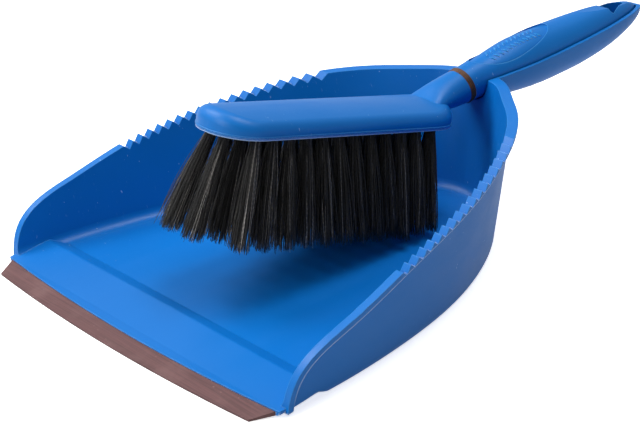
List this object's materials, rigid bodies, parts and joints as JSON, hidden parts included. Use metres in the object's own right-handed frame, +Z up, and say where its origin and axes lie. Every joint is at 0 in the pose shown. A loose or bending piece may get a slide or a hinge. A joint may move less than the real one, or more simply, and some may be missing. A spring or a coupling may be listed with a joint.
{
  "type": "dust pan and brush set",
  "caption": "Moulded plastic dust pan with a rubber lip and comb-toothed rim, and a hand brush whose handle nests in the pan's trough handle.",
  "frame": {"origin": "middle of the rubber lip's front-corner line, on the ground the pan stands on", "axes": "+Z up, +Y from the lip towards the handles, +X to the right seen from the lip; mirror plane at X = 0"},
  "size_m": [0.2304, 0.3542, 0.0947],
  "materials": {
    "pan_plastic": "smooth semi-gloss blue moulding",
    "stock_plastic": "smooth semi-gloss blue moulding",
    "lip_rubber": "dull brown rubber with faint streaks",
    "ring_rubber": "dull brown rubber, finely grooved",
    "bristle": "black crimped filaments",
    "anchor_metal": "plain wire"
  },
  "bodies": {
    "pan": {"pan_body": "pan_plastic", "lip_strip": "lip_rubber"},
    "brush": {"brush_stock": "stock_plastic", "neck_ring": "ring_rubber", "tuft_anchors": "anchor_metal", "tuft_a02": "bristle", "tuft_a03": "bristle", "tuft_a04": "bristle", "tuft_a05": "bristle", "tuft_a06": "bristle", "tuft_a07": "bristle", "tuft_a08": "bristle", "tuft_a09": "bristle", "tuft_a10": "bristle", "tuft_a11": "bristle", "tuft_a12": "bristle", "tuft_a13": "bristle", "tuft_b01": "bristle", "tuft_b02": "bristle", "tuft_b03": "bristle", "tuft_b04": "bristle", "tuft_b05": "bristle", "tuft_b06": "bristle", "tuft_b07": "bristle", "tuft_b08": "bristle", "tuft_b09": "bristle", "tuft_b10": "bristle", "tuft_b11": "bristle", "tuft_b12": "bristle", "tuft_b13": "bristle", "tuft_b14": "bristle", "tuft_c01": "bristle", "tuft_c02": "bristle", "tuft_c03": "bristle", "tuft_c04": "bristle", "tuft_c05": "bristle", "tuft_c06": "bristle", "tuft_c07": "bristle", "tuft_c08": "bristle", "tuft_c09": "bristle", "tuft_c10": "bristle", "tuft_c11": "bristle", "tuft_c12": "bristle", "tuft_c13": "bristle", "tuft_c14": "bristle", "tuft_d02": "bristle", "tuft_d03": "bristle", "tuft_d04": "bristle", "tuft_d05": "bristle", "tuft_d06": "bristle", "tuft_d07": "bristle", "tuft_d08": "bristle", "tuft_d09": "bristle", "tuft_d10": "bristle", "tuft_d11": "bristle", "tuft_d12": "bristle", "tuft_d13": "bristle"}
  },
  "joints": [
    {"name": "brush_lift", "type": "slide", "parent": "pan", "child": "brush", "axis": [0, 0, 1], "range_m": [0, 0.12]}
  ]
}
